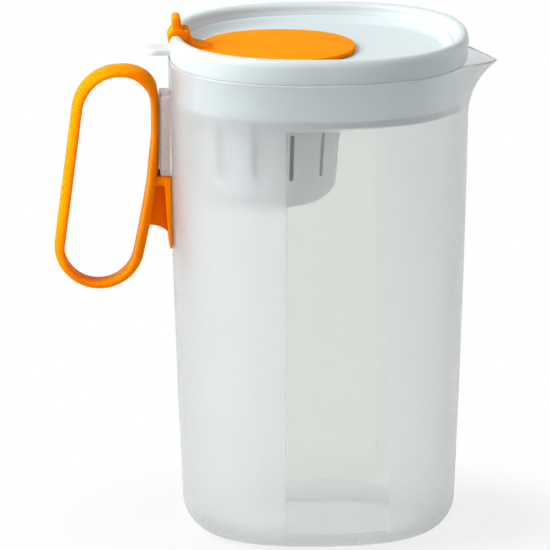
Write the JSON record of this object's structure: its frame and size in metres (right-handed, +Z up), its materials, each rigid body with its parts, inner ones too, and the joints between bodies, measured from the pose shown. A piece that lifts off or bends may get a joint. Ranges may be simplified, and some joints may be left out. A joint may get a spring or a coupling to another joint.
{
  "type": "measuring jug",
  "caption": "Tall translucent measuring jug with pouring spout, slide-on loop handle, lift-off lid, thumb-operated hinged flap and a slotted strainer basket under the fill mouth.",
  "frame": {"origin": "centre of the flat base on the jug's own axis, at the height of the surface that it stands on", "axes": "+X towards the pouring spout, -X towards the handle, +Z up along the jug's axis, +Y the far side wall"},
  "size_m": [0.1957, 0.1148, 0.2332],
  "materials": {
    "jug_body": "frosted translucent",
    "handle": "satin orange",
    "lid": "milky pale blue-grey",
    "lid_seal": "soft translucent silicone",
    "flap": "satin orange",
    "flap_hinge_pin": "plain drawn wire",
    "strainer_basket": "milky pale blue-grey"
  },
  "bodies": {
    "jug": {"jug_body": "jug_body"},
    "handle": {"handle": "handle"},
    "lid": {"lid": "lid", "lid_seal": "lid_seal", "flap_hinge_pin": "flap_hinge_pin"},
    "flap": {"flap": "flap"},
    "basket": {"strainer_basket": "strainer_basket"}
  },
  "joints": [
    {"name": "lid_lift", "type": "slide", "parent": "jug", "child": "lid", "axis": [0, 0, 1], "range_m": [0, 0.09]},
    {"name": "flap_hinge", "type": "hinge", "parent": "lid", "child": "flap", "pos_m": [-0.0617, 0, 0.2215], "axis": [0, -1, 0], "range_deg": [0, 90]},
    {"name": "basket_release", "type": "slide", "parent": "lid", "child": "basket", "axis": [0, 0, -1], "range_m": [0, 0.03]},
    {"name": "handle_slide", "type": "slide", "parent": "jug", "child": "handle", "axis": [0, 0, -1], "range_m": [0, 0.045]}
  ]
}
